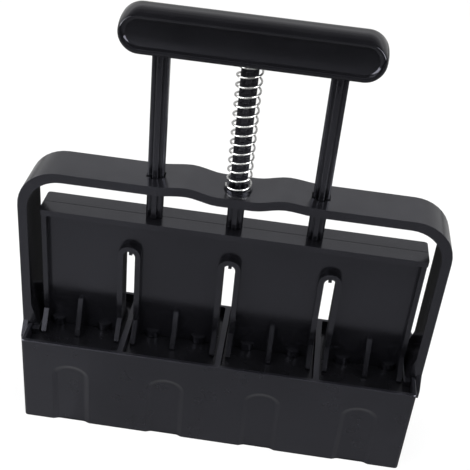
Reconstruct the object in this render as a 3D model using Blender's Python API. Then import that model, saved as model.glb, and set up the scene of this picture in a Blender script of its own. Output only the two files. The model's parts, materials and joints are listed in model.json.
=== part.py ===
"""Hand-held soil blocker with a row of square cells.

A mould box of open cells carries an arched frame. A plunger slides in it: a
handle, three ribbed posts, a two-piece pusher and one press plate for each
cell. A wire spring on the middle post holds the plunger up.

Lengths are metres. X runs along the row of cells, Y from front to back, Z up.
The origin is the middle of the box's mouth, on the ground. The plunger is
drawn at the top of its stroke.
"""
import math

import bmesh
import bpy
import numpy as np
from mathutils import Matrix, Vector

# Fits and finish
SEAT_GAP = 0.0003
OVERRUN = 0.002
SMOOTH_ANGLE = math.radians(35)
ROUND_STEPS = 16
FINE_STEPS = 20
CORNER_STEPS = 3
ARCH_STEPS = 10

# Cells and mould box
CELL_COUNT = 4
CELL_SIZE = 0.050
DIVIDER_THICKNESS = 0.003
WALL_THICKNESS = 0.0021
BOX_HEIGHT = 0.0554
BOX_CORNER_RADIUS = 0.002
CELL_CORNER_RADIUS = 0.001
RIM_BREAK = 0.0004
RECESS_WIDTH = 0.0137
RECESS_HEIGHT = 0.0384
RECESS_ARCH_RISE = 0.0042
RECESS_DEPTH = 0.0011
RECESS_SLOPE = 0.004
RECESS_STEPS = 6
RECESS_EXCESS = 1.05

# Press plates
BLOCK_SINK = 0.0084
PLATE_CLEARANCE = 0.0003
PLATE_THICKNESS = 0.003
PLATE_CORNER_RADIUS = 0.0012

# Pusher, halves mirrored about its middle plane
FLANGE_HALF_DEPTH = 0.0093
FLANGE_THICKNESS = 0.0032
FLANGE_CORNER_RADIUS = 0.0016
WEB_HALF_THICKNESS = 0.0016
WEB_ABOVE_SLOTS = 0.0152
RIB_HALF_DEPTH = 0.0056
SLOT_CLEARANCE = 0.00165
SLOT_RIM_THICKNESS = 0.0029
NIB_LENGTH = 0.0049
NIB_WIDTH = 0.0018
END_RIB_THICKNESS = 0.0026
END_CLEARANCE = 0.0009
GUSSET_THICKNESS = 0.0026
GUSSET_TOE = 0.0014
MID_GUSSET_HEIGHT = 0.0197
MID_GUSSET_REACH = 0.0125
MID_GUSSET_CREST = 0.0035
FOOT_GUSSET_HEIGHT = 0.0117
FOOT_GUSSET_REACH = 0.013
PEG_RADIUS = 0.0014
PEG_LENGTH = 0.0007

# Screws that hold the plates
PLATE_SCREW_OFFSET = 0.013
PLATE_SCREW_RADIUS = 0.0011
PLATE_SCREW_GRIP = 0.0034
PLATE_SCREW_HEAD_RADIUS = 0.0022
PLATE_SCREW_HEAD_HEIGHT = 0.0013
BOSS_RADIUS = 0.0043
BOSS_HEIGHT = 0.0042

# Pins that dent the blocks
DIBBLE_COLLAR_RADIUS = 0.006
DIBBLE_COLLAR_HEIGHT = 0.0012
DIBBLE_ROOT_RADIUS = 0.0046
DIBBLE_TIP_RADIUS = 0.0034
DIBBLE_LENGTH = 0.010
DIBBLE_SPIGOT_RADIUS = 0.002

# Frame
LEG_PROUD = 0.003
LEG_THICKNESS = 0.0048
FRAME_DEPTH = 0.024
BAND_THICKNESS = 0.005
BAND_HEADROOM = 0.0191
OUTER_CORNER_RADIUS = 0.0211
INNER_CORNER_RADIUS = 0.018
HUMP_RISE = 0.0016
DIP_DROP = 0.0012
DIP_HALF_WIDTH = 0.0085
HUMP_PLACE_SHARE = 0.6
LEG_TAPER_TOP = 0.0175
LEG_TAPER_FOOT = 0.002
LIP_REACH = 0.0041
LIP_HEIGHT = 0.0036
LIP_WING = 0.0025
JAW_HALF_WIDTH = 0.017
JAW_DROP = 0.0119
JAW_SHOULDER = 0.0068
JAW_CORNER_RADIUS = 0.003
CATCH_WIDTH = 0.008
CATCH_HEIGHT = 0.003
CATCH_DEPTH = 0.0016

# Spring and its seat
SEAT_RADIUS = 0.0072
SEAT_HEIGHT = 0.001
WIRE_DIAMETER = 0.001
SPRING_DIAMETER = 0.0129
SPRING_LENGTH = 0.0661
SPRING_TURNS = 13.5
SPRING_START_SHARE = 0.5
END_TURNS = 0.5
CURL_POINTS = 10

# Posts
POST_SPACING = 0.0414
POST_WIDTH = 0.0083
POST_DEPTH = 0.008
POST_BODY_DEPTH = 0.005
POST_CHAMFER = 0.0008
POST_RUN_CLEARANCE = 0.0005
RIB_WIDTH = 0.0028
RIB_BREAK = 0.0003
GROOVE_WIDTH = 0.0008
GROOVE_DEPTH = 0.0005
TONGUE_THICKNESS = 0.001
TONGUE_NECK_WIDTH = 0.005
TONGUE_HEAD_WIDTH = 0.010
TONGUE_NECK_LENGTH = 0.007
TONGUE_HEAD_LENGTH = 0.004
DIMPLE_RADIUS = 0.001
DIMPLE_DEPTH = 0.0006
DIMPLE_DROP = 0.007
MARK_WIDTH = 0.0009
MARK_LENGTH = 0.003

# Handle
HANDLE_OVERHANG = 0.0199
HANDLE_HEIGHT = 0.0208
HANDLE_FRONT_DEPTH = 0.010
HANDLE_BACK_DEPTH = 0.0095
HANDLE_FRONT_ROUND = 0.0016
HANDLE_BACK_ROUND = 0.007
HANDLE_CROWN = 0.002
HANDLE_CREST = 0.0004
HANDLE_RIM = 0.0024
HANDLE_SHELF = 0.0013
HANDLE_WALL = 0.003
COVER_RECESS = 0.001
COVER_THICKNESS = 0.0022
COVER_BREAK = 0.0004
HANDLE_BOSS_RADIUS = 0.0031
HANDLE_SCREW_RADIUS = 0.0014
HANDLE_SCREW_BITE = 0.0022
HANDLE_SCREW_HEAD_RADIUS = 0.0026
HANDLE_SCREW_HEAD_HEIGHT = 0.0018
HANDLE_SCREW_SINK = 0.0024

# Cross recess of a screw head
RECESS_ARM_LENGTH_SHARE = 1.2
RECESS_ARM_WIDTH_SHARE = 0.26
RECESS_SINK_SHARE = 0.55

# Stroke and handle length
BLOCK_HEIGHT = BOX_HEIGHT - BLOCK_SINK
HANDLE_LENGTH = 2 * (POST_SPACING + HANDLE_OVERHANG)

# Places along the row
CELL_PITCH = CELL_SIZE + DIVIDER_THICKNESS
ROW_HALF = (CELL_COUNT * CELL_SIZE + (CELL_COUNT - 1) * DIVIDER_THICKNESS) / 2
BOX_HALF_WIDTH = ROW_HALF + WALL_THICKNESS
BOX_HALF_DEPTH = CELL_SIZE / 2 + WALL_THICKNESS
CELL_PLACES = [(i - (CELL_COUNT - 1) / 2) * CELL_PITCH for i in range(CELL_COUNT)]
DIVIDER_PLACES = [(i - CELL_COUNT / 2) * CELL_PITCH for i in range(1, CELL_COUNT)]
POST_PLACES = [-POST_SPACING, 0, POST_SPACING]
LIP_INNER = ROW_HALF - LIP_REACH
PUSHER_HALF = LIP_INNER - END_CLEARANCE
LEG_OUTER = BOX_HALF_WIDTH + LEG_PROUD
LEG_INNER = LEG_OUTER - LEG_THICKNESS
JAW_INNER = BOX_HALF_WIDTH + SEAT_GAP

# Heights, from the ground up
PLATE_BOTTOM = BLOCK_HEIGHT
PLATE_TOP = PLATE_BOTTOM + PLATE_THICKNESS
PUSHER_FOOT = PLATE_TOP + SEAT_GAP
LIP_BOTTOM = PLATE_TOP + SEAT_GAP
LIP_TOP = LIP_BOTTOM + LIP_HEIGHT
NIB_TIP = BOX_HEIGHT + BLOCK_HEIGHT
SLOT_HALF = DIVIDER_THICKNESS / 2 + SLOT_CLEARANCE
SLOT_TOP = NIB_TIP + NIB_LENGTH
SLOT_RIM_TOP = SLOT_TOP + SLOT_RIM_THICKNESS
FLANGE_BOTTOM = SLOT_RIM_TOP + WEB_ABOVE_SLOTS
FLANGE_TOP = FLANGE_BOTTOM + FLANGE_THICKNESS
BAND_BOTTOM = FLANGE_TOP + BAND_HEADROOM
BAND_TOP = BAND_BOTTOM + BAND_THICKNESS
SEAT_TOP = BAND_TOP - DIP_DROP + SEAT_HEIGHT
SPRING_FOOT = SEAT_TOP + SEAT_GAP
HANDLE_BOTTOM = SPRING_FOOT + SPRING_LENGTH + SEAT_GAP
HANDLE_MIDDLE = HANDLE_BOTTOM + HANDLE_HEIGHT / 2

# Handle depths, from front to back
COVER_FRONT = -HANDLE_FRONT_DEPTH + COVER_RECESS
COVER_BACK = COVER_FRONT + COVER_THICKNESS
SHELF_FRONT = COVER_BACK + SEAT_GAP
CAVITY_BACK = HANDLE_BACK_DEPTH - HANDLE_WALL
CAVITY_INSET = HANDLE_RIM + HANDLE_SHELF
POST_TOP = HANDLE_BOTTOM + HANDLE_HEIGHT - CAVITY_INSET - SEAT_GAP
SCREW_SEAT = HANDLE_BACK_DEPTH - HANDLE_SCREW_SINK
BOSS_PLACES = [-POST_SPACING / 2, POST_SPACING / 2]
HANDLE_SCREW_PLACES = sorted(POST_PLACES + BOSS_PLACES)


# Scene and object helpers

def clear_scene():
    """Remove what the file holds."""
    for item in list(bpy.data.objects):
        bpy.data.objects.remove(item, do_unlink=True)


def make_material(name, colour, roughness, metallic=0.0):
    """Principled material of one colour."""
    material = bpy.data.materials.new(name)
    material.use_nodes = True
    shader = material.node_tree.nodes["Principled BSDF"]
    shader.inputs["Base Color"].default_value = (*colour, 1.0)
    shader.inputs["Roughness"].default_value = roughness
    shader.inputs["Metallic"].default_value = metallic
    return material


def finish(shape):
    """Point the faces outwards and shade the round ones smooth."""
    mesh = shape.data
    bm = bmesh.new()
    bm.from_mesh(mesh)
    bmesh.ops.recalc_face_normals(bm, faces=bm.faces)
    bm.to_mesh(mesh)
    bm.free()
    mesh.shade_smooth()
    mesh.set_sharp_from_angle(angle=SMOOTH_ANGLE)
    return shape


def add_object(name, bm):
    """Turn a bmesh into an object of the scene."""
    mesh = bpy.data.meshes.new(name)
    bmesh.ops.recalc_face_normals(bm, faces=bm.faces)
    bm.to_mesh(mesh)
    bm.free()
    shape = bpy.data.objects.new(name, mesh)
    bpy.context.scene.collection.objects.link(shape)
    return shape


def copy_object(name, source):
    """Second object that shares its source's mesh."""
    shape = bpy.data.objects.new(name, source.data)
    bpy.context.scene.collection.objects.link(shape)
    return shape


def combine(target, tools, operation):
    """Join the tools to the target, or cut them from it, and drop them."""
    for tool in tools:
        modifier = target.modifiers.new("combine", "BOOLEAN")
        modifier.operation = operation
        modifier.object = tool
        graph = bpy.context.evaluated_depsgraph_get()
        result = bpy.data.meshes.new_from_object(target.evaluated_get(graph))
        target.modifiers.clear()
        target.data = result
        bpy.data.objects.remove(tool, do_unlink=True)
    return target


def join(target, tools):
    return combine(target, tools, "UNION")


def cut(target, tools):
    return combine(target, tools, "DIFFERENCE")


# Shape helpers

def along_x(u, v, w):
    """Outline in Y and Z, drawn out along X."""
    return (w, u, v)


def along_y(u, v, w):
    """Outline in X and Z, drawn out along Y."""
    return (u, w, v)


def along_z(u, v, w):
    """Outline in X and Y, drawn out along Z."""
    return (u, v, w)


def loft(loops):
    """Closed body through loops of equal length, with flat ends."""
    bm = bmesh.new()
    rings = [[bm.verts.new(point) for point in loop] for loop in loops]
    for low, high in zip(rings, rings[1:]):
        for i in range(len(low)):
            j = (i + 1) % len(low)
            bm.faces.new((low[i], low[j], high[j], high[i]))
    bm.faces.new(rings[0])
    bm.faces.new(reversed(rings[-1]))
    return bm


def prism(name, outline, start, end, place):
    """Outline drawn out from start to end."""
    loops = [[place(u, v, w) for u, v in outline] for w in (start, end)]
    return add_object(name, loft(loops))


def block(name, low, high):
    """Rectangular block between two corners."""
    outline = [(low[0], low[1]), (high[0], low[1]), (high[0], high[1]), (low[0], high[1])]
    return prism(name, outline, low[2], high[2], along_z)


def arc(centre, radius, start, end, steps):
    """Points of an arc, ends included, with angles in degrees."""
    angles = [math.radians(start + (end - start) * i / steps) for i in range(steps + 1)]
    return [(centre[0] + radius * math.cos(a), centre[1] + radius * math.sin(a)) for a in angles]


def circle(centre, radius, steps=ROUND_STEPS):
    return arc(centre, radius, 0, 360, steps)[:-1]


def rod(name, centre, radius, start, end, place, steps=ROUND_STEPS):
    """Round rod or round cutter."""
    return prism(name, circle(centre, radius, steps), start, end, place)


def rounded_box(half_u, half_v, radius, steps=CORNER_STEPS):
    """Rectangle with round corners, about the middle."""
    outline = []
    for u, v, start in ((1, 1, 0), (-1, 1, 90), (-1, -1, 180), (1, -1, 270)):
        centre = (u * (half_u - radius), v * (half_v - radius))
        outline += arc(centre, radius, start, start + 90, steps)
    return outline


def stadium(half_length, radius, centre_v, steps=ARCH_STEPS):
    """Long outline with half-round ends."""
    reach = half_length - radius
    right = arc((reach, centre_v), radius, -90, 90, steps)
    left = arc((-reach, centre_v), radius, 90, 270, steps)
    return right + left


def turned(profile, steps=ROUND_STEPS):
    """Body turned about Z from (radius, height) points, closed on the axis."""
    bm = bmesh.new()
    rings = []
    for radius, height in profile:
        if radius == 0:
            rings.append([bm.verts.new((0, 0, height))])
        else:
            rings.append([bm.verts.new((u, v, height)) for u, v in circle((0, 0), radius, steps)])
    for low, high in zip(rings, rings[1:]):
        for i in range(steps):
            j = (i + 1) % steps
            corners = [low[i % len(low)], low[j % len(low)], high[j % len(high)], high[i % len(high)]]
            bm.faces.new(list(dict.fromkeys(corners)))
    return bm


# Mould box

def recess_outline(grow):
    """Arched hollow in a long wall, open at the mouth."""
    half = RECESS_WIDTH / 2 + grow
    spring_line = RECESS_HEIGHT - RECESS_ARCH_RISE
    rise = RECESS_ARCH_RISE + grow
    crown = [(half * u, spring_line + rise * v) for u, v in arc((0, 0), 1, 0, 180, ARCH_STEPS)]
    return crown + [(-half, -OVERRUN), (half, -OVERRUN)]


def recess_cutter(middle, side):
    """Cutter with softly curved sides, for the front wall (-1) or the back one (1)."""
    loops = []
    for i in range(RECESS_STEPS + 1):
        share = i / RECESS_STEPS
        inward = RECESS_DEPTH * (1 - RECESS_EXCESS * ease(share))
        y = side * (BOX_HALF_DEPTH - inward)
        loops.append([(middle + u, y, v) for u, v in recess_outline(RECESS_SLOPE * share)])
    return add_object("recess", loft(loops))


def make_mould_box():
    outline = rounded_box(BOX_HALF_WIDTH, BOX_HALF_DEPTH, BOX_CORNER_RADIUS)
    top = rounded_box(BOX_HALF_WIDTH - RIM_BREAK, BOX_HALF_DEPTH - RIM_BREAK, BOX_CORNER_RADIUS - RIM_BREAK)
    loops = [[(u, v, z) for u, v in ring] for ring, z in (
        (outline, 0), (outline, BOX_HEIGHT - RIM_BREAK), (top, BOX_HEIGHT))]
    box = add_object("mould_box", loft(loops))
    cell = rounded_box(CELL_SIZE / 2, CELL_SIZE / 2, CELL_CORNER_RADIUS)
    cells = [prism("cell", [(x + u, v) for u, v in cell], -OVERRUN, BOX_HEIGHT + OVERRUN, along_z)
             for x in CELL_PLACES]
    recesses = [recess_cutter(x, side) for x in CELL_PLACES for side in (-1, 1)]
    cut(box, cells + recesses)
    notch_half = FRAME_DEPTH / 2 + SEAT_GAP
    catch_half = CATCH_WIDTH / 2 + SEAT_GAP
    catch_low, catch_high = catch_heights()
    for side in (-1, 1):
        inner, outer = sorted((side * (ROW_HALF - OVERRUN), side * (BOX_HALF_WIDTH + OVERRUN)))
        cutters = []
        notch = (notch_half, LIP_BOTTOM, BOX_HEIGHT + OVERRUN)
        window = (catch_half, catch_low, catch_high)
        for half, low, high in (notch, window):
            low, high = low - SEAT_GAP, high + SEAT_GAP
            cutters.append(block("opening", (inner, -half, low), (outer, half, high)))
        cut(box, cutters)
    return finish(box)


# Frame

def catch_heights():
    """Lowest and highest point of the catch on a frame foot."""
    jaw_bottom = BOX_HEIGHT - JAW_DROP
    low = jaw_bottom + (LIP_BOTTOM - SEAT_GAP - jaw_bottom - CATCH_HEIGHT) / 2
    return low, low + CATCH_HEIGHT


def band_wave(x):
    """Rise of the band over its flat ends: a dip at the spring, a hump each side."""
    x = abs(x)
    peak = HUMP_PLACE_SHARE * POST_SPACING
    if x <= DIP_HALF_WIDTH:
        return -DIP_DROP
    if x < peak:
        return -DIP_DROP + (HUMP_RISE + DIP_DROP) * ease((x - DIP_HALF_WIDTH) / (peak - DIP_HALF_WIDTH))
    if x < POST_SPACING:
        return HUMP_RISE * (1 - ease((x - peak) / (POST_SPACING - peak)))
    return 0


def ease(share):
    """Smooth step from 0 to 1."""
    return share * share * (3 - 2 * share)


def wave_places():
    """Places along the band where its outline needs a point, left to right."""
    peak = HUMP_PLACE_SHARE * POST_SPACING
    right = list(np.linspace(DIP_HALF_WIDTH, peak, CORNER_STEPS + 3))
    right += list(np.linspace(peak, POST_SPACING, CORNER_STEPS + 3))[1:]
    return [-x for x in reversed(right)] + right


def frame_outline():
    """Front view of the frame: outer line from left to right, inner line back."""
    outer_centre = (LEG_OUTER - OUTER_CORNER_RADIUS, BAND_TOP - OUTER_CORNER_RADIUS)
    inner_centre = (LEG_INNER - INNER_CORNER_RADIUS, BAND_BOTTOM - INNER_CORNER_RADIUS)
    outer_corner = arc(outer_centre, OUTER_CORNER_RADIUS, 90, 0, ARCH_STEPS)
    inner_corner = arc(inner_centre, INNER_CORNER_RADIUS, 0, 90, ARCH_STEPS)
    foot = [(LEG_OUTER, LIP_BOTTOM), (LIP_INNER, LIP_BOTTOM), (LIP_INNER, LIP_BOTTOM + LEG_TAPER_FOOT),
            (LEG_INNER, LIP_BOTTOM + LEG_TAPER_TOP)]
    waves = wave_places()
    top = [(x, BAND_TOP + band_wave(x)) for x in waves]
    under = [(x, BAND_BOTTOM + band_wave(x)) for x in reversed(waves)]
    right = outer_corner + foot + inner_corner
    left = [(-x, z) for x, z in reversed(right)]
    return top + right + under + left


def jaw_outline():
    """Side view of the jaw outside an end wall, widening below the rim."""
    bottom = BOX_HEIGHT - JAW_DROP
    shoulder = LIP_BOTTOM
    radius = JAW_CORNER_RADIUS
    half = JAW_HALF_WIDTH
    right = arc((half - radius, bottom + radius), radius, -90, 0, CORNER_STEPS)
    right += [(half, shoulder), (FRAME_DEPTH / 2, shoulder + JAW_SHOULDER)]
    return right + [(-y, z) for y, z in reversed(right)]


def make_frame():
    frame = prism("frame_arch", frame_outline(), -FRAME_DEPTH / 2, FRAME_DEPTH / 2, along_y)
    catch_low, catch_high = catch_heights()
    wing_half = FRAME_DEPTH / 2 + SEAT_GAP + LIP_WING
    additions = [rod("seat", (0, 0), SEAT_RADIUS, BAND_BOTTOM, SEAT_TOP, along_z, FINE_STEPS)]
    for side in (-1, 1):
        additions.append(prism("jaw", jaw_outline(), side * JAW_INNER, side * LEG_OUTER, along_x))
        inner, outer = sorted((side * LIP_INNER, side * (ROW_HALF - SEAT_GAP)))
        additions.append(block("lip", (inner, -wing_half, LIP_BOTTOM), (outer, wing_half, LIP_TOP)))
        inner, outer = sorted((side * (JAW_INNER - CATCH_DEPTH), side * (JAW_INNER + SEAT_GAP)))
        half = CATCH_WIDTH / 2
        additions.append(block("catch", (inner, -half, catch_low), (outer, half, catch_high)))
    join(frame, additions)
    low = BAND_BOTTOM - DIP_DROP - OVERRUN
    top = SEAT_TOP + HUMP_RISE + OVERRUN
    holes = []
    for width, depth in ((POST_WIDTH, POST_BODY_DEPTH), (RIB_WIDTH, POST_DEPTH)):
        u = width / 2 + POST_RUN_CLEARANCE
        v = depth / 2 + POST_RUN_CLEARANCE
        holes += [block("hole", (x - u, -v, low), (x + u, v, top)) for x in POST_PLACES]
    return finish(cut(frame, holes))


# Spring

def spring_points():
    """Centre line of the wire, with flatter end turns and straight ends."""
    radius = (SPRING_DIAMETER - WIRE_DIAMETER) / 2
    low = SPRING_FOOT + WIRE_DIAMETER / 2
    rise = SPRING_LENGTH - WIRE_DIAMETER
    steps = round(SPRING_TURNS * CURL_POINTS)
    points = []
    for i in range(steps + 1):
        turn = SPRING_TURNS * i / steps
        angle = 2 * math.pi * (turn + SPRING_START_SHARE)
        height = low + rise * coil_share(turn)
        points.append(Vector((radius * math.cos(angle), radius * math.sin(angle), height)))
    up = Vector((0, 0, 1))
    start = points[0] - WIRE_DIAMETER * up.cross(points[0]).normalized()
    end = points[-1] + WIRE_DIAMETER * up.cross(points[-1]).normalized()
    return [start] + points + [end]


def coil_share(turn):
    """Share of the height climbed: slow in the end turns, steady between."""
    run = SPRING_TURNS - END_TURNS
    if turn < END_TURNS:
        return turn * turn / (2 * END_TURNS * run)
    if turn > run:
        left = SPRING_TURNS - turn
        return 1 - left * left / (2 * END_TURNS * run)
    return (turn - END_TURNS / 2) / run


def least_wire_gap(points):
    """Smallest clear distance between turns, measured on points of the wire."""
    line = np.array([list(point) for point in points])
    away = CURL_POINTS // 2
    gap = min(np.linalg.norm(line[i + away:] - line[i], axis=1).min() for i in range(len(line) - away))
    return gap - WIRE_DIAMETER


def make_spring():
    points = spring_points()
    print("spring: least gap between turns", round(1000 * least_wire_gap(points), 3), "mm")
    curve = bpy.data.curves.new("return_spring", "CURVE")
    curve.dimensions = "3D"
    curve.bevel_depth = WIRE_DIAMETER / 2
    curve.bevel_resolution = 1
    curve.use_fill_caps = True
    line = curve.splines.new("POLY")
    line.points.add(len(points) - 1)
    for place, point in zip(line.points, points):
        place.co = (*point, 1)
    spring = bpy.data.objects.new("return_spring", curve)
    bpy.context.scene.collection.objects.link(spring)
    return spring


# Screws and dibbles

def screw(name, radius, length, head_radius, head_height):
    """Pan-head screw, seat of the head at Z zero, shank downwards."""
    point = 2 * radius
    edge = head_height / 3
    profile = [(0, -length), (radius / 3, -length), (radius, point - length), (radius, 0), (head_radius, 0),
               (head_radius, head_height - edge), (head_radius - edge, head_height), (0, head_height)]
    body = add_object(name, turned(profile))
    arm = RECESS_ARM_LENGTH_SHARE * head_radius / 2
    width = RECESS_ARM_WIDTH_SHARE * head_radius / 2
    floor = head_height * (1 - RECESS_SINK_SHARE)
    cross = [(width, width), (width, arm), (-width, arm), (-width, width), (-arm, width), (-arm, -width),
             (-width, -width), (-width, -arm), (width, -arm), (width, -width), (arm, -width), (arm, width)]
    return finish(cut(body, [prism("cross", cross, floor, head_height + OVERRUN, along_z)]))


def make_dibble():
    """Blunt pin with a collar under the plate and a spigot up into it."""
    tip = DIBBLE_LENGTH + DIBBLE_COLLAR_HEIGHT
    step = DIBBLE_TIP_RADIUS / 3
    spigot = PLATE_THICKNESS
    collar = DIBBLE_COLLAR_RADIUS
    stem = DIBBLE_SPIGOT_RADIUS
    profile = [(0, -tip), (DIBBLE_TIP_RADIUS - step, -tip), (DIBBLE_TIP_RADIUS, step - tip),
               (DIBBLE_ROOT_RADIUS, -DIBBLE_COLLAR_HEIGHT), (collar, -DIBBLE_COLLAR_HEIGHT),
               (collar, 0), (stem, 0), (stem, spigot), (0, spigot)]
    return finish(add_object("dibble_pin_1", turned(profile)))


# Plates

def make_plate():
    """Plate of one cell, its origin in the middle of its top face."""
    half = CELL_SIZE / 2 - PLATE_CLEARANCE
    outline = rounded_box(half, half, PLATE_CORNER_RADIUS)
    plate = prism("press_plate_1", outline, -PLATE_THICKNESS, 0, along_z)
    low = -PLATE_THICKNESS - OVERRUN
    cuts = [rod("spigot_hole", (0, 0), DIBBLE_SPIGOT_RADIUS + SEAT_GAP, low, OVERRUN, along_z)]
    head_top = plate_screw_seat() + SEAT_GAP - PLATE_TOP
    for x in (-PLATE_SCREW_OFFSET, PLATE_SCREW_OFFSET):
        cuts.append(rod("hole", (x, 0), PLATE_SCREW_RADIUS + SEAT_GAP, low, OVERRUN, along_z))
        cuts.append(rod("sink", (x, 0), PLATE_SCREW_HEAD_RADIUS + SEAT_GAP, low, head_top, along_z))
    return finish(cut(plate, cuts))


def plate_screw_seat():
    """Height of the face that a plate screw's head bears with."""
    return PLATE_BOTTOM + PLATE_SCREW_HEAD_HEIGHT


# Pusher

def gusset(name, middle, crest, height, reach):
    """Sloped stiffener from the pusher's face down to its foot."""
    foot = PUSHER_FOOT
    low = foot - OVERRUN / 2
    outline = [(0, low), (-reach, low), (-reach, foot + GUSSET_TOE), (-crest, foot + height),
               (0, foot + height)]
    half = GUSSET_THICKNESS / 2
    return prism(name, outline, middle - half, middle + half, along_x)


def slot_outline(middle, half, top, low):
    """Upright outline with a round top and a square foot."""
    crown = arc((middle, top - half), half, 0, 180, ARCH_STEPS)
    return crown + [(middle - half, low), (middle + half, low)]


def flange_outline():
    """Half of the flange, round at its two front corners."""
    radius = FLANGE_CORNER_RADIUS
    depth = FLANGE_HALF_DEPTH
    left = arc((-PUSHER_HALF + radius, -depth + radius), radius, 180, 270, CORNER_STEPS)
    right = arc((PUSHER_HALF - radius, -depth + radius), radius, 270, 360, CORNER_STEPS)
    return left + right + [(PUSHER_HALF, 0), (-PUSHER_HALF, 0)]


def pusher_parts():
    """Everything that stands on the web of the front half."""
    parts = [prism("flange", flange_outline(), FLANGE_BOTTOM, FLANGE_TOP, along_z)]
    rim_half = SLOT_HALF + SLOT_RIM_THICKNESS
    rib_places = []
    for x in DIVIDER_PLACES:
        outline = slot_outline(x, rim_half, SLOT_RIM_TOP, PUSHER_FOOT - OVERRUN / 2)
        parts.append(prism("slot_rim", outline, -RIB_HALF_DEPTH, 0, along_y))
        rib_places += [x - SLOT_HALF - GUSSET_THICKNESS / 2, x + SLOT_HALF + GUSSET_THICKNESS / 2]
    for side in (-1, 1):
        inner, outer = sorted((side * (PUSHER_HALF - END_RIB_THICKNESS), side * PUSHER_HALF))
        low = PUSHER_FOOT - OVERRUN / 2
        parts.append(block("end_rib", (inner, -RIB_HALF_DEPTH, low), (outer, 0, FLANGE_BOTTOM + SEAT_GAP)))
        rib_places.append(side * (PUSHER_HALF - END_RIB_THICKNESS / 2))
    for x in rib_places:
        parts.append(gusset("foot_gusset", x, RIB_HALF_DEPTH, FOOT_GUSSET_HEIGHT, FOOT_GUSSET_REACH))
    for x in CELL_PLACES:
        parts.append(gusset("mid_gusset", x, MID_GUSSET_CREST, MID_GUSSET_HEIGHT, MID_GUSSET_REACH))
        for offset in (-PLATE_SCREW_OFFSET, PLATE_SCREW_OFFSET):
            centre = (x + offset, 0)
            low = PUSHER_FOOT - OVERRUN / 2
            parts.append(rod("boss", centre, BOSS_RADIUS, low, PUSHER_FOOT + BOSS_HEIGHT, along_z))
    return parts


def tongue_outline(middle, spare):
    """Neck and wider head of a post's tongue, as seen from the front."""
    neck = TONGUE_NECK_WIDTH / 2 + spare
    head = TONGUE_HEAD_WIDTH / 2 + spare
    shoulder = FLANGE_TOP - TONGUE_NECK_LENGTH + spare
    foot = FLANGE_TOP - TONGUE_NECK_LENGTH - TONGUE_HEAD_LENGTH - spare
    top = FLANGE_TOP + OVERRUN
    right = [(head, foot), (head, shoulder), (neck, shoulder), (neck, top)]
    return [(middle + u, v) for u, v in right] + [(middle - u, v) for u, v in reversed(right)]


def make_pusher_half():
    """Front half. Turned half round it is the back half, so pegs meet holes."""
    end = PUSHER_HALF - END_RIB_THICKNESS / 2
    low = (-end, -WEB_HALF_THICKNESS, PUSHER_FOOT - OVERRUN)
    half = block("pusher_front_half", low, (end, OVERRUN, FLANGE_BOTTOM + SEAT_GAP))
    join(half, pusher_parts())
    slot_foot = PUSHER_FOOT - 2 * OVERRUN
    slots = [slot_outline(x, SLOT_HALF, SLOT_TOP, slot_foot) for x in DIVIDER_PLACES]
    reach = FOOT_GUSSET_REACH + OVERRUN
    cut(half, [prism("slot", outline, -reach, 2 * OVERRUN, along_y) for outline in slots])
    nib_top = SLOT_TOP + SLOT_RIM_THICKNESS / 2
    nib = NIB_WIDTH / 2
    join(half, [block("nib", (x - nib, -WEB_HALF_THICKNESS, NIB_TIP), (x + nib, 0, nib_top))
                for x in DIVIDER_PLACES])
    seam = SEAT_GAP / 2
    reach = PUSHER_HALF + OVERRUN
    deep = FOOT_GUSSET_REACH + OVERRUN
    cuts = [block("seam", (-reach, -seam, PUSHER_FOOT - 2 * OVERRUN), (reach, deep, FLANGE_TOP + OVERRUN)),
            block("foot", (-reach, -deep, PUSHER_FOOT - 2 * OVERRUN), (reach, deep + OVERRUN, PUSHER_FOOT))]
    pocket = TONGUE_THICKNESS / 2 + SEAT_GAP
    cuts += [prism("pocket", tongue_outline(x, SEAT_GAP), -pocket, OVERRUN, along_y) for x in POST_PLACES]
    bore_top = plate_screw_seat() + plate_screw_length() + SEAT_GAP
    for x in CELL_PLACES:
        for offset in (-PLATE_SCREW_OFFSET, PLATE_SCREW_OFFSET):
            centre = (x + offset, 0)
            radius = PLATE_SCREW_RADIUS + SEAT_GAP
            cuts.append(rod("bore", centre, radius, PUSHER_FOOT - OVERRUN, bore_top, along_z))
    height = (PUSHER_FOOT + FLANGE_BOTTOM) / 2
    peg_place = CELL_PLACES[-1]
    depth = PEG_LENGTH + seam
    cuts.append(rod("peg_hole", (-peg_place, height), PEG_RADIUS + SEAT_GAP, -depth, OVERRUN, along_y))
    cut(half, cuts)
    peg_end = PEG_LENGTH - SEAT_GAP - seam
    join(half, [rod("peg", (peg_place, height), PEG_RADIUS, -WEB_HALF_THICKNESS / 2, peg_end, along_y)])
    return finish(half)


def plate_screw_length():
    """From the head's seat, through the plate, to its bite in the boss."""
    return PUSHER_FOOT - plate_screw_seat() + PLATE_SCREW_GRIP


# Posts

def post_outline():
    """Flat bar with a raised rib front and back and a groove each side of it."""
    half = POST_WIDTH / 2
    face = POST_BODY_DEPTH / 2
    rib = RIB_WIDTH / 2
    crest = POST_DEPTH / 2
    groove = rib + GROOVE_WIDTH
    floor = face - GROOVE_DEPTH
    quarter = [(half, face - POST_CHAMFER), (half - POST_CHAMFER, face), (groove, face), (groove, floor),
               (rib, floor), (rib, crest - RIB_BREAK), (rib - RIB_BREAK, crest)]
    back = quarter + [(-u, v) for u, v in reversed(quarter)]
    return back + [(-u, -v) for u, v in back]


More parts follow.
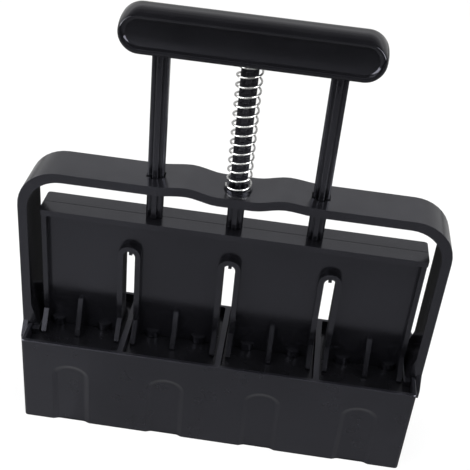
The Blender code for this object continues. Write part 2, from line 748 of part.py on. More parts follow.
def make_post(name, middle, marked):
    post = prism(name, post_outline(), FLANGE_TOP + SEAT_GAP, POST_TOP, along_z)
    half = TONGUE_THICKNESS / 2
    tongue = prism("tongue", tongue_outline(0, 0), -half, half, along_y)
    join(post, [tongue])
    depth = POST_DEPTH / 2 + OVERRUN
    cuts = [rod("cross_hole", (0, HANDLE_MIDDLE), HANDLE_SCREW_RADIUS + SEAT_GAP, -depth, depth, along_y)]
    if marked:
        face = -POST_DEPTH / 2
        height = HANDLE_BOTTOM - DIMPLE_DROP
        mark_low = height + 2 * DIMPLE_RADIUS
        cuts.append(rod("dimple", (0, height), DIMPLE_RADIUS, face - OVERRUN, face + DIMPLE_DEPTH, along_y))
        cuts.append(block("mark", (-MARK_WIDTH / 2, face - OVERRUN, mark_low),
                          (MARK_WIDTH / 2, face + DIMPLE_DEPTH, mark_low + MARK_LENGTH)))
    cut(post, cuts)
    post.location.x = middle
    return finish(post)


# Handle

def handle_loop(inset, y, drop=0):
    """Outline of the handle at one depth, drawn in by an inset and by a drop of its top."""
    middle = HANDLE_MIDDLE - drop / 2
    inset += drop / 2
    outline = stadium(HANDLE_LENGTH / 2 - inset, HANDLE_HEIGHT / 2 - inset, middle)
    return [(u, y, v) for u, v in outline]


def crown_drop(inset, y):
    """Drop of the crowned top from its crest to the front, less the inset there."""
    share = (HANDLE_CREST - y) / (HANDLE_CREST + HANDLE_FRONT_DEPTH)
    return HANDLE_CROWN * share * share - inset


def handle_loops():
    """Loops from the front face, round its edge and over the crown, to the rounded rear."""
    loops = []
    for i in range(CORNER_STEPS + 1):
        angle = math.pi / 2 * i / CORNER_STEPS
        inset = HANDLE_FRONT_ROUND * (1 - math.sin(angle))
        y = -HANDLE_FRONT_DEPTH + HANDLE_FRONT_ROUND * (1 - math.cos(angle))
        loops.append(handle_loop(inset, y, crown_drop(inset, y)))
    for y in np.linspace(HANDLE_FRONT_ROUND - HANDLE_FRONT_DEPTH, HANDLE_CREST, CORNER_STEPS + 2)[1:]:
        loops.append(handle_loop(0, y, crown_drop(0, y)))
    steps = 2 * CORNER_STEPS
    for i in range(steps + 1):
        angle = math.pi / 2 * i / steps
        inset = HANDLE_BACK_ROUND * (1 - math.cos(angle))
        loops.append(handle_loop(inset, HANDLE_BACK_DEPTH + HANDLE_BACK_ROUND * (math.sin(angle) - 1)))
    return loops


def make_handle_body():
    """Hollow body, open in front for the cover and below for the posts."""
    body = add_object("handle_body", loft(handle_loops()))
    panel = [handle_loop(HANDLE_RIM, y) for y in (-HANDLE_FRONT_DEPTH - OVERRUN, SHELF_FRONT)]
    cavity = [handle_loop(CAVITY_INSET, y) for y in (COVER_FRONT, CAVITY_BACK)]
    cut(body, [add_object("panel", loft(panel)), add_object("cavity", loft(cavity))])
    boss_front = COVER_BACK + HANDLE_SCREW_BITE + SEAT_GAP
    boss_back = CAVITY_BACK + SEAT_GAP
    bosses = [rod("boss", (x, HANDLE_MIDDLE), HANDLE_BOSS_RADIUS, boss_front, boss_back, along_y)
              for x in BOSS_PLACES]
    join(body, bosses)
    hole = POST_WIDTH / 2 + SEAT_GAP
    low = HANDLE_BOTTOM - OVERRUN
    cuts = [block("post_hole", (x - hole, -hole, low), (x + hole, hole, HANDLE_MIDDLE))
            for x in POST_PLACES]
    shank = HANDLE_SCREW_RADIUS + SEAT_GAP
    head = HANDLE_SCREW_HEAD_RADIUS + SEAT_GAP
    rear = HANDLE_BACK_DEPTH + OVERRUN
    for x in HANDLE_SCREW_PLACES:
        centre = (x, HANDLE_MIDDLE)
        cuts.append(rod("hole", centre, shank, COVER_FRONT, SCREW_SEAT + OVERRUN, along_y))
        cuts.append(rod("sink", centre, head, SCREW_SEAT - SEAT_GAP, rear, along_y))
    return finish(cut(body, cuts))


def make_handle_cover():
    """Plain inset plate in the handle's front, with a boss for each screw."""
    inset = HANDLE_RIM + SEAT_GAP
    insets = [(inset + COVER_BREAK, COVER_FRONT), (inset, COVER_FRONT + COVER_BREAK), (inset, COVER_BACK)]
    cover = add_object("handle_cover", loft([handle_loop(inset, y) for inset, y in insets]))
    bosses = []
    bores = []
    for x in HANDLE_SCREW_PLACES:
        centre = (x, HANDLE_MIDDLE)
        end = min(COVER_BACK + HANDLE_SCREW_BITE, -POST_DEPTH / 2 - SEAT_GAP)
        bosses.append(rod("boss", centre, HANDLE_BOSS_RADIUS, COVER_BACK - SEAT_GAP, end, along_y))
        radius = HANDLE_SCREW_RADIUS + SEAT_GAP
        bores.append(rod("bore", centre, radius, screw_tip() - SEAT_GAP, end + OVERRUN, along_y))
    return finish(cut(join(cover, bosses), bores))


def screw_tip():
    """Depth that a handle screw's point reaches behind the cover's face."""
    return COVER_FRONT + COVER_THICKNESS / 2


def assign(pieces, material):
    for piece in pieces:
        piece.data.materials.clear()
        piece.data.materials.append(material)


# Assembly

def build():
    clear_scene()
    box = make_mould_box()
    frame = make_frame()
    spring = make_spring()
    plunger = bpy.data.objects.new("plunger", None)
    plunger.location = (0, 0, FLANGE_TOP)
    bpy.context.scene.collection.objects.link(plunger)

    front = make_pusher_half()
    back = copy_object("pusher_rear_half", front)
    back.rotation_euler.z = math.pi
    post_names = ("post_left", "post_centre", "post_right")
    posts = [make_post(name, x, x != 0) for name, x in zip(post_names, POST_PLACES)]
    body = make_handle_body()
    cover = make_handle_cover()

    plate = make_plate()
    dibble = make_dibble()
    plates = [plate]
    dibbles = [dibble]
    for number in range(2, CELL_COUNT + 1):
        plates.append(copy_object("press_plate_" + str(number), plate))
        dibbles.append(copy_object("dibble_pin_" + str(number), dibble))
    for x, one_plate, one_dibble in zip(CELL_PLACES, plates, dibbles):
        one_plate.location = (x, 0, PLATE_TOP)
        one_dibble.location = (x, 0, PLATE_BOTTOM - SEAT_GAP)

    plate_screws = []
    for number, x in enumerate(CELL_PLACES, 1):
        for hand, offset in (("left", -PLATE_SCREW_OFFSET), ("right", PLATE_SCREW_OFFSET)):
            name = "plate_screw_" + str(number) + "_" + hand
            if plate_screws:
                one = copy_object(name, plate_screws[0])
            else:
                one = screw(name, PLATE_SCREW_RADIUS, plate_screw_length(), PLATE_SCREW_HEAD_RADIUS,
                            PLATE_SCREW_HEAD_HEIGHT)
            one.location = (x + offset, 0, plate_screw_seat())
            one.rotation_euler.x = math.pi
            plate_screws.append(one)

    handle_screws = []
    for number, x in enumerate(HANDLE_SCREW_PLACES, 1):
        name = "handle_screw_" + str(number)
        if handle_screws:
            one = copy_object(name, handle_screws[0])
        else:
            one = screw(name, HANDLE_SCREW_RADIUS, SCREW_SEAT - screw_tip(), HANDLE_SCREW_HEAD_RADIUS,
                        HANDLE_SCREW_HEAD_HEIGHT)
        one.location = (x, SCREW_SEAT, HANDLE_MIDDLE)
        one.rotation_euler.x = -math.pi / 2
        handle_screws.append(one)

    moving = [front, back, body, cover] + posts + plates + dibbles + plate_screws + handle_screws
    bpy.context.view_layer.update()
    for piece in moving:
        piece.parent = plunger
        piece.matrix_parent_inverse = Matrix.Translation(-plunger.location)

    assign([box], make_material("mould_plastic", (0.030, 0.030, 0.034), 0.32))
    assign([frame], make_material("frame_plastic", (0.026, 0.026, 0.029), 0.22))
    assign([front, back], make_material("pusher_plastic", (0.030, 0.030, 0.033), 0.30))
    assign(plates, make_material("plate_plastic", (0.034, 0.034, 0.037), 0.40))
    assign(dibbles, make_material("dibble_plastic", (0.034, 0.034, 0.037), 0.40))
    assign(posts, make_material("post_plastic", (0.022, 0.022, 0.025), 0.28))
    assign([body], make_material("handle_plastic", (0.020, 0.020, 0.022), 0.22))
    assign([cover], make_material("cover_plastic", (0.020, 0.020, 0.022), 0.26))
    assign([spring], make_material("spring_steel", (0.62, 0.62, 0.63), 0.25, 1.0))
    assign(plate_screws + handle_screws, make_material("screw_steel", (0.55, 0.55, 0.56), 0.32, 1.0))


build()
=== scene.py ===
"""Looks of the soil blocker: finishes, rounded edges, spring, handle, light and camera.

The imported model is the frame. Its solids keep their shape and get soft edges and
moulded-plastic finishes. The spring and the handle are finer pieces that stand
for their solids. Lengths are metres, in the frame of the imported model.
"""
import json
import math

import bmesh
import bpy
from mathutils import Matrix, Vector


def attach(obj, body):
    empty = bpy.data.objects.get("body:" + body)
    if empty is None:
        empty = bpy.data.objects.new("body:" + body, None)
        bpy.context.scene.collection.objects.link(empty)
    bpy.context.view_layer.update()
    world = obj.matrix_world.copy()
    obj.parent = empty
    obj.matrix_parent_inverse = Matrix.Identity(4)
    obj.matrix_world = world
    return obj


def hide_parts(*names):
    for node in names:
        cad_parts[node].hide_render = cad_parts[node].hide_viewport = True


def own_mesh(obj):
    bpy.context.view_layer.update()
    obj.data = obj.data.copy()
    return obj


# Camera, from the fit to the photograph
CAMERA_PLACE = (0.02283, -0.39226, 0.38738)
CAMERA_TILT = math.radians(33.92)
CAMERA_YAW = math.radians(-3.21)
CAMERA_ROLL = math.radians(5.97)
CAMERA_LENS = 70.44
CAMERA_CLIP = 0.01
SENSOR_WIDTH = 36

# Spring
SPRING_FOOT = 0.1528
SPRING_LENGTH = 0.0661
WIRE_DIAMETER = 0.001
COIL_RADIUS = 0.00595
FOOT_COIL_RADIUS = 0.0063
SPRING_TURNS = 13.5
START_TURN = 0.5
CLOSED_TURNS = 0.5
CLOSING_TURN = 1
COIL_POINTS = 40
WIRE_SIDES = 12

# Handle
HANDLE_BOTTOM = 0.2192
HANDLE_HEIGHT = 0.0208
HANDLE_LENGTH = 0.1226
HANDLE_FRONT_DEPTH = 0.010
HANDLE_BACK_DEPTH = 0.0095
HANDLE_FRONT_ROUND = 0.0024
HANDLE_BACK_ROUND = 0.007
HANDLE_CROWN = 0.002
HANDLE_CREST = 0.0004
HANDLE_RIM = 0.0024
RIM_SLOPE_END = 0.0042
RIM_LIFT = 0.00002
RECESS_DEPTH = 0.001
COVER_GAP = 0.0002
COVER_ROUND = 0.0003
COVER_THICKNESS = 0.0022
SCREW_PLACES = (-0.0414, -0.0207, 0, 0.0207, 0.0414)
SCREW_WELL_RADIUS = 0.0029
SCREW_WELL_DEPTH = 0.0026
WELL_SIDES = 32

# Steps of the handle's half-round ends, of the edges of its plate and front, and
# of its longer curves
END_STEPS = 36
COVER_STEPS = 5
ROUND_STEPS = 10
LONG_STEPS = 20

# Plastics: name, tone, roughness, specular level and strength of the grain
PLASTICS = (
    ("mould_plastic", (0.0060, 0.0060, 0.0078), 0.30, 0.42, 0.25),
    ("frame_plastic", (0.0050, 0.0050, 0.0062), 0.20, 0.50, 0.15),
    ("pusher_plastic", (0.0055, 0.0055, 0.0068), 0.18, 0.47, 0.12),
    # The press plates' tone is about half the others': painted shade from the box walls around them
    ("plate_plastic", (0.0030, 0.0030, 0.0036), 0.26, 0.30, 0.25),
    ("dibble_plastic", (0.0040, 0.0040, 0.0048), 0.30, 0.36, 0.25),
    ("post_plastic", (0.0058, 0.0058, 0.0070), 0.20, 0.50, 0.15),
    ("handle_plastic", (0.0048, 0.0048, 0.0058), 0.12, 0.27, 0.06),
    ("cover_plastic", (0.0052, 0.0052, 0.0062), 0.20, 0.40, 0.10),
)
SHEEN_TINT = (0.84, 0.85, 1.0, 1)
FLOW_SCALE = 28
FLOW_DARK = 0.88
FLOW_LIGHT = 1.16
SPECK_SCALE = 900
SPECK_RANGE = (0.79, 0.87)
SPECK_LIGHT = 2.2
GLOSS_SCALE = 70
GLOSS_SPREAD = 0.03
WAVE_SCALE = 45
WAVE_STRENGTH = 0.05
WAVE_HEIGHT = 0.0004
GRAIN_SCALE = 3800
GRAIN_HEIGHT = 0.00004

# Steels: name, tone, roughness and stretch of the streaks
STEELS = (
    ("spring_steel", (0.58, 0.58, 0.57), 0.26, (1, 1, 6)),
    ("screw_steel", (0.58, 0.58, 0.59), 0.30, (3, 3, 3)),
)
STREAK_SCALE = 600
STREAK_STRENGTH = 0.2
STREAK_HEIGHT = 0.00003
STREAK_GLOSS = (-0.06, 0.1)
SPOT_SCALE = 260
SPOT_DARK = 0.82

# Part of a noise texture's values that a material uses
NOISE_RANGE = (0.35, 0.65)

# Edges of the solids
SMOOTH_ANGLE = math.radians(32)
WELD_DISTANCE = 0.000005
EDGE_SEGMENTS = 2
NORMAL_WEIGHT = 100
SOFT_EDGE = {
    "mould_box": 0.0003,
    "frame_arch": 0.0003,
    "pusher_front_half": 0.00015,
    "pusher_rear_half": 0.00015,
    "press_plate": 0.0003,
    "post": 0.00025,
    "dibble_pin": 0.0003,
}

# Studio
STUDIO_RADIUS = 2.2
STUDIO_HEIGHT = 2.0
STUDIO_SIDES = 96
STUDIO_TONE = (0.9, 0.9, 0.9, 1)
WALL_SKIRT = 0.001
WORLD_LEVEL = 0.03
WHITE_SHARE = 0.85

# Cards seen in reflections only: name, corner, two sides and brightness.
# The floor's cards show in upright faces, those at the back in flat tops, those
# in front in the gussets, and those at the sides in the rim of the handle.
CARDS = (
    ("card_floor_left", (-0.8, -0.45, 0.0005), (0.72, 0, 0), (0, 0.4235, 0), 0.62),
    ("card_floor_middle", (-0.08, -0.45, 0.0005), (0.10, 0, 0), (0, 0.4235, 0), 0.48),
    ("card_floor_right", (0.02, -0.45, 0.0005), (0.78, 0, 0), (0, 0.4235, 0), 0.47),
    ("card_floor_behind", (-0.16, 0.36, 0.0005), (0.32, 0, 0), (0, 0.43, 0), 0.50),
    ("card_floor_behind_left", (-0.9, 0.03, 0.0005), (0.74, 0, 0), (0, 0.76, 0), 0.50),
    ("card_floor_behind_right", (0.16, 0.03, 0.0005), (0.74, 0, 0), (0, 0.76, 0), 0.50),
    ("card_back_low", (-1.6, 0.8, 0.05), (3.2, 0, 0), (0, 0, 0.51), 0.66),
    ("card_back", (-1.6, 0.8, 0.56), (3.2, 0, 0), (0, 0, 0.12), 0.97),
    ("card_back_middle", (-1.6, 0.8, 0.68), (3.2, 0, 0), (0, 0, 0.12), 0.74),
    ("card_back_top", (-1.6, 0.8, 0.80), (3.2, 0, 0), (0, 0, 0.20), 0.46),
    ("card_back_high", (-1.6, 0.8, 1.00), (3.2, 0, 0), (0, 0, 0.30), 0.20),
    ("card_front_low_left", (-0.7, -1.2, 0.40), (0.46, 0, 0), (0, 0, 0.17), 4.6),
    ("card_front_low", (-0.24, -1.2, 0.42), (0.94, 0, 0), (0, 0, 0.15), 2.0),
    ("card_front_left", (-0.75, -1.2, 0.68), (0.37, 0, 0), (0, 0, 0.60), 2.6),
    ("card_left", (-1.05, 0.20, 0.14), (0.25, -0.95, 0), (0, 0, 1.25), 12.0),
    ("card_right", (1.05, 0.15, 0.18), (-0.25, -0.90, 0), (0, 0, 1.22), 12.0),
    ("card_top", (-0.9, -0.60, 1.40), (1.8, 0, 0), (0, 0.45, 0), 6.0),
)

# Lamps: name, place, size and power
LAMP_AIM = (0, 0, 0.1)
LAMPS = (
    ("lamp_left", (-0.9, -0.5, 1.2), 1.0, 16),
    ("lamp_right", (1.0, -0.4, 1.1), 1.0, 12),
    ("lamp_top", (0, 0.1, 1.6), 1.4, 22),
)

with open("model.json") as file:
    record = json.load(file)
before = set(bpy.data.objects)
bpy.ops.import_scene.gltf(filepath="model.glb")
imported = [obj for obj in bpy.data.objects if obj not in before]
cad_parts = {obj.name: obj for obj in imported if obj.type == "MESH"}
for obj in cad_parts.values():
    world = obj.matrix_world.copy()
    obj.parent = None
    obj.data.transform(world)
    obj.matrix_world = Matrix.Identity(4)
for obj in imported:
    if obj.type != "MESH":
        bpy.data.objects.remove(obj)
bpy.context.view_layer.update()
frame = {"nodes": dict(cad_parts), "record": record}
nodes = frame["nodes"]


# Node helpers

def new_material(name):
    """Empty material with a Principled shader, its tree and the shader."""
    material = bpy.data.materials.new(name)
    material.use_nodes = True
    tree = material.node_tree
    return material, tree, tree.nodes["Principled BSDF"]


def noise(tree, scale, detail, coordinates):
    """Noise texture over the object's own coordinates."""
    node = tree.nodes.new("ShaderNodeTexNoise")
    node.inputs["Scale"].default_value = scale
    node.inputs["Detail"].default_value = detail
    tree.links.new(coordinates, node.inputs["Vector"])
    return node.outputs["Fac"]


def spread(tree, value, low, high, part=NOISE_RANGE):
    """Part of a value's range mapped to low..high."""
    node = tree.nodes.new("ShaderNodeMapRange")
    numbers = {"From Min": part[0], "From Max": part[1], "To Min": low, "To Max": high}
    for name, number in numbers.items():
        node.inputs[name].default_value = number
    tree.links.new(value, node.inputs["Value"])
    return node.outputs["Result"]


def tint(tree, value, dark, light):
    """Colour between two tones by a value."""
    node = tree.nodes.new("ShaderNodeMix")
    node.data_type = "RGBA"
    node.inputs["A"].default_value = (*dark, 1)
    node.inputs["B"].default_value = (*light, 1)
    tree.links.new(value, node.inputs["Factor"])
    return node.outputs["Result"]


def bump(tree, height, strength, distance, normal=None):
    """Bump of the surface, on top of an earlier one if there is one."""
    node = tree.nodes.new("ShaderNodeBump")
    node.inputs["Strength"].default_value = strength
    node.inputs["Distance"].default_value = distance
    tree.links.new(height, node.inputs["Height"])
    if normal is not None:
        tree.links.new(normal, node.inputs["Normal"])
    return node.outputs["Normal"]


# Finishes

def plastic(name, tone, roughness, specular, grain):
    """Moulded black plastic: flow marks, a fine grain, dust specks and uneven gloss."""
    material, tree, shader = new_material(name)
    place = tree.nodes.new("ShaderNodeTexCoord").outputs["Object"]
    flow = spread(tree, noise(tree, FLOW_SCALE, 3, place), 0, 1)
    dark = tuple(FLOW_DARK * c for c in tone)
    light = tuple(FLOW_LIGHT * c for c in tone)
    cloudy = tint(tree, flow, dark, light)
    speck = spread(tree, noise(tree, SPECK_SCALE, 1, place), 0, 1, SPECK_RANGE)
    dusty = tree.nodes.new("ShaderNodeMix")
    dusty.data_type = "RGBA"
    tree.links.new(speck, dusty.inputs["Factor"])
    tree.links.new(cloudy, dusty.inputs["A"])
    dusty.inputs["B"].default_value = (*(SPECK_LIGHT * c for c in tone), 1)
    tree.links.new(dusty.outputs["Result"], shader.inputs["Base Color"])
    uneven = noise(tree, GLOSS_SCALE, 4, place)
    gloss = spread(tree, uneven, roughness - GLOSS_SPREAD, roughness + GLOSS_SPREAD)
    tree.links.new(gloss, shader.inputs["Roughness"])
    shader.inputs["Specular IOR Level"].default_value = specular
    shader.inputs["Specular Tint"].default_value = SHEEN_TINT
    waves = bump(tree, noise(tree, WAVE_SCALE, 2, place), WAVE_STRENGTH, WAVE_HEIGHT)
    fine = bump(tree, noise(tree, GRAIN_SCALE, 2, place), grain, GRAIN_HEIGHT, waves)
    tree.links.new(fine, shader.inputs["Normal"])
    return material


def steel(name, tone, roughness, streak):
    """Bright steel with drawn streaks and faint dull spots."""
    material, tree, shader = new_material(name)
    place = tree.nodes.new("ShaderNodeTexCoord").outputs["Object"]
    stretch = tree.nodes.new("ShaderNodeMapping")
    stretch.inputs["Scale"].default_value = streak
    tree.links.new(place, stretch.inputs["Vector"])
    streaks = noise(tree, STREAK_SCALE, 4, stretch.outputs["Vector"])
    spots = spread(tree, noise(tree, SPOT_SCALE, 3, place), 0, 1)
    dark = tuple(SPOT_DARK * c for c in tone)
    tree.links.new(tint(tree, spots, dark, tone), shader.inputs["Base Color"])
    shader.inputs["Metallic"].default_value = 1
    low, high = STREAK_GLOSS
    gloss = spread(tree, streaks, roughness + low, roughness + high)
    tree.links.new(gloss, shader.inputs["Roughness"])
    drawn = bump(tree, streaks, STREAK_STRENGTH, STREAK_HEIGHT)
    tree.links.new(drawn, shader.inputs["Normal"])
    return material


FINISHES = {row[0]: plastic(*row) for row in PLASTICS}
FINISHES.update({row[0]: steel(*row) for row in STEELS})


def paint(piece, slot):
    """Give a piece one finish and name its slot."""
    piece.data.materials.clear()
    piece.data.materials.append(FINISHES[slot])


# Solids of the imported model

def soften(piece, width):
    """Round the edges of a solid and shade it smooth between them."""
    for polygon in piece.data.polygons:
        polygon.use_smooth = True
    weld = piece.modifiers.new("weld", "WELD")
    weld.merge_threshold = WELD_DISTANCE
    if width:
        edge = piece.modifiers.new("edge", "BEVEL")
        edge.width = width
        edge.segments = EDGE_SEGMENTS
        edge.limit_method = "ANGLE"
        edge.angle_limit = SMOOTH_ANGLE
        edge.miter_outer = "MITER_ARC"
        even = piece.modifiers.new("even", "WEIGHTED_NORMAL")
        even.mode = "FACE_AREA"
        even.weight = NORMAL_WEIGHT
    else:
        split = piece.modifiers.new("split", "EDGE_SPLIT")
        split.split_angle = SMOOTH_ANGLE


def dress_solids():
    """Finish and soft edges of every solid."""
    slots = {row["node"]: row["material_slot"] for row in frame["record"]["subparts"]}
    for name, piece in nodes.items():
        paint(piece, slots[name])
        width = next((soft for key, soft in SOFT_EDGE.items() if name.startswith(key)), 0)
        soften(piece, width)


# Mesh helpers

def add_piece(name, bm, slot, body):
    """Smooth piece from a bmesh, riding on a body."""
    mesh = bpy.data.meshes.new(name)
    bmesh.ops.recalc_face_normals(bm, faces=bm.faces)
    bm.to_mesh(mesh)
    bm.free()
    mesh.shade_smooth()
    mesh.set_sharp_from_angle(angle=SMOOTH_ANGLE)
    piece = bpy.data.objects.new(name, mesh)
    bpy.context.scene.collection.objects.link(piece)
    if slot:
        paint(piece, slot)
    if body:
        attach(piece, body)
    return piece


def skin(rings, close=True):
    """Body through rings of equal length, with flat ends if closed."""
    bm = bmesh.new()
    loops = [[bm.verts.new(point) for point in ring] for ring in rings]
    count = len(loops[0])
    for low, high in zip(loops, loops[1:]):
        for i in range(count):
            j = (i + 1) % count
            bm.faces.new((low[i], low[j], high[j], high[i]))
    if close:
        bm.faces.new(loops[0])
        bm.faces.new(reversed(loops[-1]))
    return bm


def cut(target, cutters):
    """Cut cutters from a mesh object and remove them."""
    for cutter in cutters:
        modifier = target.modifiers.new("cut", "BOOLEAN")
        modifier.operation = "DIFFERENCE"
        modifier.object = cutter
        graph = bpy.context.evaluated_depsgraph_get()
        result = bpy.data.meshes.new_from_object(target.evaluated_get(graph))
        target.modifiers.clear()
        target.data = result
        bpy.data.objects.remove(cutter, do_unlink=True)
    target.data.shade_smooth()
    target.data.set_sharp_from_angle(angle=SMOOTH_ANGLE)
    return target


# Spring

def spring_line():
    """Centre line of the wire, closed at both ends and a little wider at the foot."""
    low = SPRING_FOOT + WIRE_DIAMETER / 2
    rise = SPRING_LENGTH - WIRE_DIAMETER
    run = SPRING_TURNS - CLOSED_TURNS
    points = []
    for i in range(round(SPRING_TURNS * COIL_POINTS) + 1):
        turn = i / COIL_POINTS
        if turn < CLOSED_TURNS:
            share = turn * turn / (2 * CLOSED_TURNS * run)
        elif turn > run:
            share = 1 - (SPRING_TURNS - turn) ** 2 / (2 * CLOSED_TURNS * run)
        else:
            share = (turn - CLOSED_TURNS / 2) / run
        widening = (FOOT_COIL_RADIUS - COIL_RADIUS) * max(0, 1 - turn / CLOSING_TURN)
        radius = COIL_RADIUS + widening
        angle = 2 * math.pi * (turn + START_TURN)
        x, y = radius * math.cos(angle), radius * math.sin(angle)
        points.append(Vector((x, y, low + rise * share)))
    return points


def make_spring():
    """Round wire along the line, its ends cut square."""
    points = spring_line()
    rings = []
    for i, point in enumerate(points):
        ahead = points[min(i + 1, len(points) - 1)] - points[max(i - 1, 0)]
        ahead.normalize()
        outward = Vector((point.x, point.y, 0)).normalized()
        side = (outward - ahead * outward.dot(ahead)).normalized()
        up = ahead.cross(side)
        ring = []
        for k in range(WIRE_SIDES):
            angle = 2 * math.pi * k / WIRE_SIDES
            reach = math.cos(angle) * side + math.sin(angle) * up
            ring.append(point + WIRE_DIAMETER / 2 * reach)
        rings.append(ring)
    spring = add_piece("spring_wire", skin(rings), "spring_steel", "base")
    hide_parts("return_spring")
    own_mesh(spring)


# Handle

def handle_ring(inset, depth, drop=0):
    """Outline of the handle with half-round ends, less an inset and a drop of its top."""
    radius = HANDLE_HEIGHT / 2 - inset - drop / 2
    reach = (HANDLE_LENGTH - HANDLE_HEIGHT) / 2
    middle = HANDLE_BOTTOM + HANDLE_HEIGHT / 2 - drop / 2
    ring = []
    for side, start in ((1, -90), (-1, 90)):
        for i in range(END_STEPS + 1):
            angle = math.radians(start + 180 * i / END_STEPS)
            x = side * reach + radius * math.cos(angle)
            ring.append((x, depth, middle + radius * math.sin(angle)))
    return ring


def crown_drop(inset, depth):
    """Drop of the crowned top from its crest to the front, less the inset there."""
    share = (HANDLE_CREST - depth) / (HANDLE_CREST + HANDLE_FRONT_DEPTH)
    return HANDLE_CROWN * share * share - inset


def quarter(steps):
    """Sine and cosine of angles from 0 to a right angle."""
    angles = [math.pi / 2 * i / steps for i in range(steps + 1)]
    return [(math.sin(angle), math.cos(angle)) for angle in angles]


def well(place):
    """Round cutter for one screw's well in the back of the handle."""
    middle = HANDLE_BOTTOM + HANDLE_HEIGHT / 2
    near, far = HANDLE_BACK_DEPTH - SCREW_WELL_DEPTH, HANDLE_BACK_DEPTH + SCREW_WELL_DEPTH
    rings = []
    for depth in (near, far):
        ring = []
        for k in range(WELL_SIDES):
            angle = 2 * math.pi * k / WELL_SIDES
            x = place + SCREW_WELL_RADIUS * math.cos(angle)
            ring.append((x, depth, middle + SCREW_WELL_RADIUS * math.sin(angle)))
        rings.append(ring)
    return add_piece("well", skin(rings), None, None)


def make_handle():
    """Body with a soft rim round its recess, and the plain plate set in it."""
    front = -HANDLE_FRONT_DEPTH
    face = front + RECESS_DEPTH
    floor = face + COVER_THICKNESS
    lip = face - RIM_LIFT
    rings = [handle_ring(HANDLE_RIM, floor), handle_ring(HANDLE_RIM, lip)]
    for i in range(LONG_STEPS):
        share = i / LONG_STEPS
        inset = RIM_SLOPE_END + (HANDLE_FRONT_ROUND - RIM_SLOPE_END) * share
        depth = lip + (front - lip) * math.sin(math.pi / 2 * share)
        rings.append(handle_ring(inset, depth, crown_drop(HANDLE_FRONT_ROUND, front) * share))
    for s, c in quarter(ROUND_STEPS):
        inset = HANDLE_FRONT_ROUND * (1 - s)
        depth = front + HANDLE_FRONT_ROUND * (1 - c)
        rings.append(handle_ring(inset, depth, crown_drop(inset, depth)))
    start = front + HANDLE_FRONT_ROUND
    for i in range(1, LONG_STEPS):
        depth = start + (HANDLE_CREST - start) * i / LONG_STEPS
        rings.append(handle_ring(0, depth, crown_drop(0, depth)))
    rings.append(handle_ring(0, HANDLE_CREST))
    for s, c in quarter(LONG_STEPS):
        depth = HANDLE_BACK_DEPTH - HANDLE_BACK_ROUND * (1 - s)
        rings.append(handle_ring(HANDLE_BACK_ROUND * (1 - c), depth))
    body = add_piece("handle_shell", skin(rings), None, None)
    body = cut(body, [well(place) for place in SCREW_PLACES])
    paint(body, "handle_plastic")
    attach(body, "plunger")
    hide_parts("handle_body")

    edge = HANDLE_RIM + COVER_GAP
    rings = [handle_ring(edge + COVER_ROUND * (1 - s), face + COVER_ROUND * (1 - c))
             for s, c in quarter(COVER_STEPS)]
    rings.append(handle_ring(edge, floor))
    plate = add_piece("handle_plate", skin(rings), "cover_plastic", "plunger")
    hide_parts("handle_cover")


# Studio

def studio_material():
    """White for what looks straight at it, with the object's shadow kept."""
    material, tree, shader = new_material("studio_white")
    shader.inputs["Base Color"].default_value = STUDIO_TONE
    shader.inputs["Roughness"].default_value = 1
    shader.inputs["Specular IOR Level"].default_value = 0
    glow = tree.nodes.new("ShaderNodeEmission")
    path = tree.nodes.new("ShaderNodeLightPath")
    seen = path.outputs["Is Camera Ray"]
    for name in ("Is Glossy Ray", "Is Transmission Ray"):
        either = tree.nodes.new("ShaderNodeMath")
        either.operation = "MAXIMUM"
        tree.links.new(seen, either.inputs[0])
        tree.links.new(path.outputs[name], either.inputs[1])
        seen = either.outputs["Value"]
    share = tree.nodes.new("ShaderNodeMath")
    share.operation = "MULTIPLY"
    share.inputs[1].default_value = WHITE_SHARE
    tree.links.new(seen, share.inputs[0])
    mix = tree.nodes.new("ShaderNodeMixShader")
    tree.links.new(share.outputs["Value"], mix.inputs["Fac"])
    tree.links.new(shader.outputs["BSDF"], mix.inputs[1])
    tree.links.new(glow.outputs["Emission"], mix.inputs[2])
    tree.links.new(mix.outputs["Shader"], tree.nodes["Material Output"].inputs["Surface"])
    return material


def stage_piece(name, bm, material):
    """Object of the studio, not of the part."""
    mesh = bpy.data.meshes.new(name)
    bm.to_mesh(mesh)
    bm.free()
    mesh.materials.append(material)
    piece = bpy.data.objects.new(name, mesh)
    bpy.context.scene.collection.objects.link(piece)
    return piece


def make_card(name, corner, along, up, level):
    """Plain bright card that shows in reflections only."""
    material, tree, shader = new_material(name)
    shader.inputs["Base Color"].default_value = (0, 0, 0, 1)
    shader.inputs["Specular IOR Level"].default_value = 0
    shader.inputs["Emission Color"].default_value = (1, 1, 1, 1)
    shader.inputs["Emission Strength"].default_value = level
    corner, along, up = Vector(corner), Vector(along), Vector(up)
    bm = bmesh.new()
    points = (corner, corner + along, corner + along + up, corner + up)
    bm.faces.new([bm.verts.new(point) for point in points])
    card = stage_piece(name, bm, material)
    card.visible_camera = False
    card.visible_diffuse = False
    card.visible_transmission = False
    card.visible_shadow = False


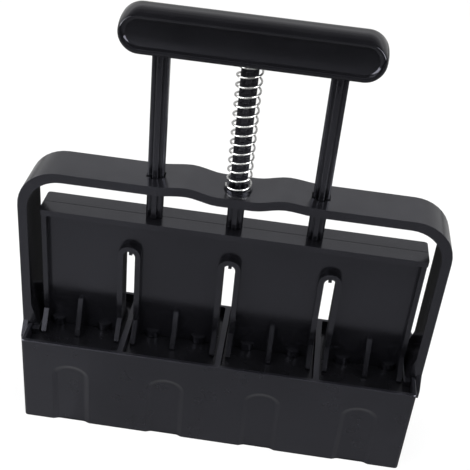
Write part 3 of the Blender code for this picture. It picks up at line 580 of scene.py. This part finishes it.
def make_studio():
    """Round white floor and wall, reflection cards and soft lamps."""
    white = studio_material()
    angles = [2 * math.pi * k / STUDIO_SIDES for k in range(STUDIO_SIDES)]
    circle = [(STUDIO_RADIUS * math.cos(angle), STUDIO_RADIUS * math.sin(angle))
              for angle in angles]
    floor = bmesh.new()
    floor.faces.new([floor.verts.new((x, y, 0)) for x, y in circle])
    wall = skin([[(x, y, z) for x, y in circle] for z in (-WALL_SKIRT, STUDIO_HEIGHT)], close=False)
    for name, bm in (("studio_floor", floor), ("studio_wall", wall)):
        stage_piece(name, bm, white).visible_glossy = False
    for card in CARDS:
        make_card(*card)

    world = bpy.data.worlds.new("studio")
    bpy.context.scene.world = world
    world.use_nodes = True
    background = world.node_tree.nodes["Background"]
    background.inputs["Color"].default_value = (1, 1, 1, 1)
    background.inputs["Strength"].default_value = WORLD_LEVEL

    for name, place, size, power in LAMPS:
        light = bpy.data.lights.new(name, "AREA")
        light.size = size
        light.energy = power
        lamp = bpy.data.objects.new(name, light)
        lamp.location = place
        aim = Vector(LAMP_AIM) - Vector(place)
        lamp.rotation_euler = aim.to_track_quat("-Z", "Y").to_euler()
        lamp.visible_glossy = False
        bpy.context.scene.collection.objects.link(lamp)


def make_camera():
    """Camera of the photograph."""
    flat = math.cos(CAMERA_TILT)
    fall = -math.sin(CAMERA_TILT)
    ahead = Vector((math.sin(CAMERA_YAW) * flat, math.cos(CAMERA_YAW) * flat, fall))
    level = Vector((math.cos(CAMERA_YAW), -math.sin(CAMERA_YAW), 0))
    up = level.cross(ahead)
    right = math.cos(CAMERA_ROLL) * level + math.sin(CAMERA_ROLL) * up
    top = math.cos(CAMERA_ROLL) * up - math.sin(CAMERA_ROLL) * level
    turn = Matrix((right, top, -ahead)).transposed().to_4x4()
    data = bpy.data.cameras.new("camera")
    data.lens = CAMERA_LENS
    data.sensor_width = SENSOR_WIDTH
    data.clip_start = CAMERA_CLIP
    camera = bpy.data.objects.new("camera", data)
    camera.matrix_world = Matrix.Translation(CAMERA_PLACE) @ turn
    bpy.context.scene.collection.objects.link(camera)
    bpy.context.scene.camera = camera


dress_solids()
make_spring()
make_handle()
make_studio()
make_camera()
bpy.context.scene.view_settings.view_transform = "Standard"
